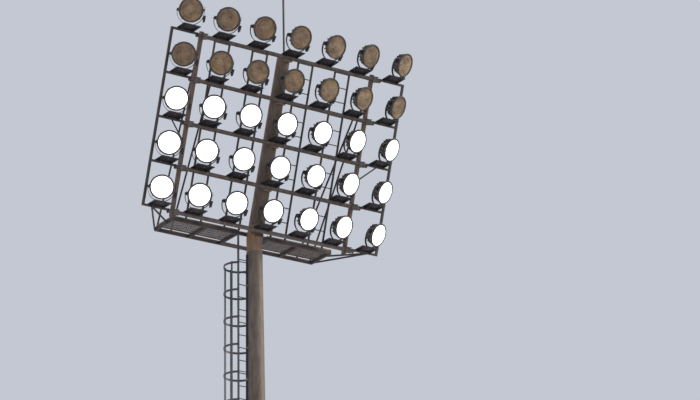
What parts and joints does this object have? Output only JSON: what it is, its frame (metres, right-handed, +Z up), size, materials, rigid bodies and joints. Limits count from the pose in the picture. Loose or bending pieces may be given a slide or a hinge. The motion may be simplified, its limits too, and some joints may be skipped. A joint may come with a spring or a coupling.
{
  "type": "stadium floodlight pylon",
  "caption": "Tapered tubular mast with a forward-leaning head frame of tilting floodlights, a service platform and a caged climbing ladder.",
  "frame": {"origin": "centre of the base flange's underside, on the ground", "axes": "+Z up along the mast; the lamps face -Y; +X to the right for someone who looks at the lamps along +Y"},
  "size_m": [6.324, 3.4149, 33.9677],
  "materials": {
    "mast_steel": "weathered, stained paint",
    "rusted_steel": "rusting",
    "frame_steel": "weathered, rust-stained",
    "dark_steel": "dull",
    "galvanised_steel": "dull galvanised",
    "yoke_steel": "dull",
    "lamp_housing": "weathered cast and spun"
  },
  "bodies": {
    "pylon": {"base_flange": "mast_steel", "mast_lower": "mast_steel", "mast_middle": "mast_steel", "mast_upper": "mast_steel", "head_knee": "rusted_steel", "head_spine": "mast_steel", "spine_brackets": "rusted_steel", "lamp_rails": "frame_steel", "side_chords": "frame_steel", "wing_frames": "dark_steel", "frame_ladders": "dark_steel", "platform_frame": "dark_steel", "deck_left": "galvanised_steel", "deck_right": "galvanised_steel", "head_stays": "dark_steel", "access_ladder": "galvanised_steel", "cage_left": "galvanised_steel", "cage_back": "galvanised_steel", "cage_right": "galvanised_steel", "lightning_rod": "galvanised_steel", "yokes_row_1": "yoke_steel", "yokes_row_2": "yoke_steel", "yokes_row_3": "yoke_steel", "yokes_row_4": "yoke_steel", "yokes_row_5": "yoke_steel"},
    "lamp_r1_c1": {"lamp_r1_c1": "lamp_housing"},
    "lamp_r1_c2": {"lamp_r1_c2": "lamp_housing"},
    "lamp_r1_c3": {"lamp_r1_c3": "lamp_housing"},
    "lamp_r1_c4": {"lamp_r1_c4": "lamp_housing"},
    "lamp_r1_c5": {"lamp_r1_c5": "lamp_housing"},
    "lamp_r1_c6": {"lamp_r1_c6": "lamp_housing"},
    "lamp_r1_c7": {"lamp_r1_c7": "lamp_housing"},
    "lamp_r2_c1": {"lamp_r2_c1": "lamp_housing"},
    "lamp_r2_c2": {"lamp_r2_c2": "lamp_housing"},
    "lamp_r2_c3": {"lamp_r2_c3": "lamp_housing"},
    "lamp_r2_c4": {"lamp_r2_c4": "lamp_housing"},
    "lamp_r2_c5": {"lamp_r2_c5": "lamp_housing"},
    "lamp_r2_c6": {"lamp_r2_c6": "lamp_housing"},
    "lamp_r2_c7": {"lamp_r2_c7": "lamp_housing"},
    "lamp_r3_c1": {"lamp_r3_c1": "lamp_housing"},
    "lamp_r3_c2": {"lamp_r3_c2": "lamp_housing"},
    "lamp_r3_c3": {"lamp_r3_c3": "lamp_housing"},
    "lamp_r3_c4": {"lamp_r3_c4": "lamp_housing"},
    "lamp_r3_c5": {"lamp_r3_c5": "lamp_housing"},
    "lamp_r3_c6": {"lamp_r3_c6": "lamp_housing"},
    "lamp_r3_c7": {"lamp_r3_c7": "lamp_housing"},
    "lamp_r4_c1": {"lamp_r4_c1": "lamp_housing"},
    "lamp_r4_c2": {"lamp_r4_c2": "lamp_housing"},
    "lamp_r4_c3": {"lamp_r4_c3": "lamp_housing"},
    "lamp_r4_c4": {"lamp_r4_c4": "lamp_housing"},
    "lamp_r4_c5": {"lamp_r4_c5": "lamp_housing"},
    "lamp_r4_c6": {"lamp_r4_c6": "lamp_housing"},
    "lamp_r4_c7": {"lamp_r4_c7": "lamp_housing"},
    "lamp_r5_c1": {"lamp_r5_c1": "lamp_housing"},
    "lamp_r5_c2": {"lamp_r5_c2": "lamp_housing"},
    "lamp_r5_c3": {"lamp_r5_c3": "lamp_housing"},
    "lamp_r5_c4": {"lamp_r5_c4": "lamp_housing"},
    "lamp_r5_c5": {"lamp_r5_c5": "lamp_housing"},
    "lamp_r5_c6": {"lamp_r5_c6": "lamp_housing"},
    "lamp_r5_c7": {"lamp_r5_c7": "lamp_housing"}
  },
  "joints": [
    {"name": "lamp_r1_c1_tilt", "type": "hinge", "parent": "pylon", "child": "lamp_r1_c1", "pos_m": [-2.8559, -1.91665, 31.88528], "axis": [0.891, -0.454, 0], "range_deg": [-28, 42]},
    {"name": "lamp_r1_c2_tilt", "type": "hinge", "parent": "pylon", "child": "lamp_r1_c2", "pos_m": [-1.90457, -1.92751, 31.88528], "axis": [0.952, -0.3062, 0], "range_deg": [-28, 42]},
    {"name": "lamp_r1_c3_tilt", "type": "hinge", "parent": "pylon", "child": "lamp_r1_c3", "pos_m": [-0.95185, -1.93403, 31.88528], "axis": [0.9886, -0.1507, 0], "range_deg": [-28, 42]},
    {"name": "lamp_r1_c4_tilt", "type": "hinge", "parent": "pylon", "child": "lamp_r1_c4", "pos_m": [0.00155, -1.93606, 31.88528], "axis": [1, 0.0087, 0], "range_deg": [-28, 42]},
    {"name": "lamp_r1_c5_tilt", "type": "hinge", "parent": "pylon", "child": "lamp_r1_c5", "pos_m": [0.95492, -1.93354, 31.88528], "axis": [0.9858, 0.1679, 0], "range_deg": [-28, 42]},
    {"name": "lamp_r1_c6_tilt", "type": "hinge", "parent": "pylon", "child": "lamp_r1_c6", "pos_m": [1.90753, -1.92653, 31.88528], "axis": [0.9465, 0.3228, 0], "range_deg": [-28, 42]},
    {"name": "lamp_r1_c7_tilt", "type": "hinge", "parent": "pylon", "child": "lamp_r1_c7", "pos_m": [2.85866, -1.91521, 31.88528], "axis": [0.8829, 0.4695, 0], "range_deg": [-28, 42]},
    {"name": "lamp_r2_c1_tilt", "type": "hinge", "parent": "pylon", "child": "lamp_r2_c1", "pos_m": [-2.8559, -1.60763, 30.93423], "axis": [0.891, -0.454, 0], "range_deg": [-28, 42]},
    {"name": "lamp_r2_c2_tilt", "type": "hinge", "parent": "pylon", "child": "lamp_r2_c2", "pos_m": [-1.90457, -1.61849, 30.93423], "axis": [0.952, -0.3062, 0], "range_deg": [-28, 42]},
    {"name": "lamp_r2_c3_tilt", "type": "hinge", "parent": "pylon", "child": "lamp_r2_c3", "pos_m": [-0.95185, -1.62502, 30.93423], "axis": [0.9886, -0.1507, 0], "range_deg": [-28, 42]},
    {"name": "lamp_r2_c4_tilt", "type": "hinge", "parent": "pylon", "child": "lamp_r2_c4", "pos_m": [0.00155, -1.62705, 30.93423], "axis": [1, 0.0087, 0], "range_deg": [-28, 42]},
    {"name": "lamp_r2_c5_tilt", "type": "hinge", "parent": "pylon", "child": "lamp_r2_c5", "pos_m": [0.95492, -1.62452, 30.93423], "axis": [0.9858, 0.1679, 0], "range_deg": [-28, 42]},
    {"name": "lamp_r2_c6_tilt", "type": "hinge", "parent": "pylon", "child": "lamp_r2_c6", "pos_m": [1.90753, -1.61751, 30.93423], "axis": [0.9465, 0.3228, 0], "range_deg": [-28, 42]},
    {"name": "lamp_r2_c7_tilt", "type": "hinge", "parent": "pylon", "child": "lamp_r2_c7", "pos_m": [2.85866, -1.60619, 30.93423], "axis": [0.8829, 0.4695, 0], "range_deg": [-28, 42]},
    {"name": "lamp_r3_c1_tilt", "type": "hinge", "parent": "pylon", "child": "lamp_r3_c1", "pos_m": [-2.8559, -1.29861, 29.98317], "axis": [0.891, -0.454, 0], "range_deg": [-28, 42]},
    {"name": "lamp_r3_c2_tilt", "type": "hinge", "parent": "pylon", "child": "lamp_r3_c2", "pos_m": [-1.90457, -1.30947, 29.98317], "axis": [0.952, -0.3062, 0], "range_deg": [-28, 42]},
    {"name": "lamp_r3_c3_tilt", "type": "hinge", "parent": "pylon", "child": "lamp_r3_c3", "pos_m": [-0.95185, -1.316, 29.98317], "axis": [0.9886, -0.1507, 0], "range_deg": [-28, 42]},
    {"name": "lamp_r3_c4_tilt", "type": "hinge", "parent": "pylon", "child": "lamp_r3_c4", "pos_m": [0.00155, -1.31803, 29.98317], "axis": [1, 0.0087, 0], "range_deg": [-28, 42]},
    {"name": "lamp_r3_c5_tilt", "type": "hinge", "parent": "pylon", "child": "lamp_r3_c5", "pos_m": [0.95492, -1.31551, 29.98317], "axis": [0.9858, 0.1679, 0], "range_deg": [-28, 42]},
    {"name": "lamp_r3_c6_tilt", "type": "hinge", "parent": "pylon", "child": "lamp_r3_c6", "pos_m": [1.90753, -1.30849, 29.98317], "axis": [0.9465, 0.3228, 0], "range_deg": [-28, 42]},
    {"name": "lamp_r3_c7_tilt", "type": "hinge", "parent": "pylon", "child": "lamp_r3_c7", "pos_m": [2.85866, -1.29718, 29.98317], "axis": [0.8829, 0.4695, 0], "range_deg": [-28, 42]},
    {"name": "lamp_r4_c1_tilt", "type": "hinge", "parent": "pylon", "child": "lamp_r4_c1", "pos_m": [-2.8559, -0.9896, 29.03211], "axis": [0.891, -0.454, 0], "range_deg": [-28, 42]},
    {"name": "lamp_r4_c2_tilt", "type": "hinge", "parent": "pylon", "child": "lamp_r4_c2", "pos_m": [-1.90457, -1.00046, 29.03211], "axis": [0.952, -0.3062, 0], "range_deg": [-28, 42]},
    {"name": "lamp_r4_c3_tilt", "type": "hinge", "parent": "pylon", "child": "lamp_r4_c3", "pos_m": [-0.95185, -1.00698, 29.03211], "axis": [0.9886, -0.1507, 0], "range_deg": [-28, 42]},
    {"name": "lamp_r4_c4_tilt", "type": "hinge", "parent": "pylon", "child": "lamp_r4_c4", "pos_m": [0.00155, -1.00901, 29.03211], "axis": [1, 0.0087, 0], "range_deg": [-28, 42]},
    {"name": "lamp_r4_c5_tilt", "type": "hinge", "parent": "pylon", "child": "lamp_r4_c5", "pos_m": [0.95492, -1.00649, 29.03211], "axis": [0.9858, 0.1679, 0], "range_deg": [-28, 42]},
    {"name": "lamp_r4_c6_tilt", "type": "hinge", "parent": "pylon", "child": "lamp_r4_c6", "pos_m": [1.90753, -0.99948, 29.03211], "axis": [0.9465, 0.3228, 0], "range_deg": [-28, 42]},
    {"name": "lamp_r4_c7_tilt", "type": "hinge", "parent": "pylon", "child": "lamp_r4_c7", "pos_m": [2.85866, -0.98816, 29.03211], "axis": [0.8829, 0.4695, 0], "range_deg": [-28, 42]},
    {"name": "lamp_r5_c1_tilt", "type": "hinge", "parent": "pylon", "child": "lamp_r5_c1", "pos_m": [-2.8559, -0.68058, 28.08106], "axis": [0.891, -0.454, 0], "range_deg": [-28, 42]},
    {"name": "lamp_r5_c2_tilt", "type": "hinge", "parent": "pylon", "child": "lamp_r5_c2", "pos_m": [-1.90457, -0.69144, 28.08106], "axis": [0.952, -0.3062, 0], "range_deg": [-28, 42]},
    {"name": "lamp_r5_c3_tilt", "type": "hinge", "parent": "pylon", "child": "lamp_r5_c3", "pos_m": [-0.95185, -0.69797, 28.08106], "axis": [0.9886, -0.1507, 0], "range_deg": [-28, 42]},
    {"name": "lamp_r5_c4_tilt", "type": "hinge", "parent": "pylon", "child": "lamp_r5_c4", "pos_m": [0.00155, -0.7, 28.08106], "axis": [1, 0.0087, 0], "range_deg": [-28, 42]},
    {"name": "lamp_r5_c5_tilt", "type": "hinge", "parent": "pylon", "child": "lamp_r5_c5", "pos_m": [0.95492, -0.69747, 28.08106], "axis": [0.9858, 0.1679, 0], "range_deg": [-28, 42]},
    {"name": "lamp_r5_c6_tilt", "type": "hinge", "parent": "pylon", "child": "lamp_r5_c6", "pos_m": [1.90753, -0.69046, 28.08106], "axis": [0.9465, 0.3228, 0], "range_deg": [-28, 42]},
    {"name": "lamp_r5_c7_tilt", "type": "hinge", "parent": "pylon", "child": "lamp_r5_c7", "pos_m": [2.85866, -0.67914, 28.08106], "axis": [0.8829, 0.4695, 0], "range_deg": [-28, 42]}
  ]
}
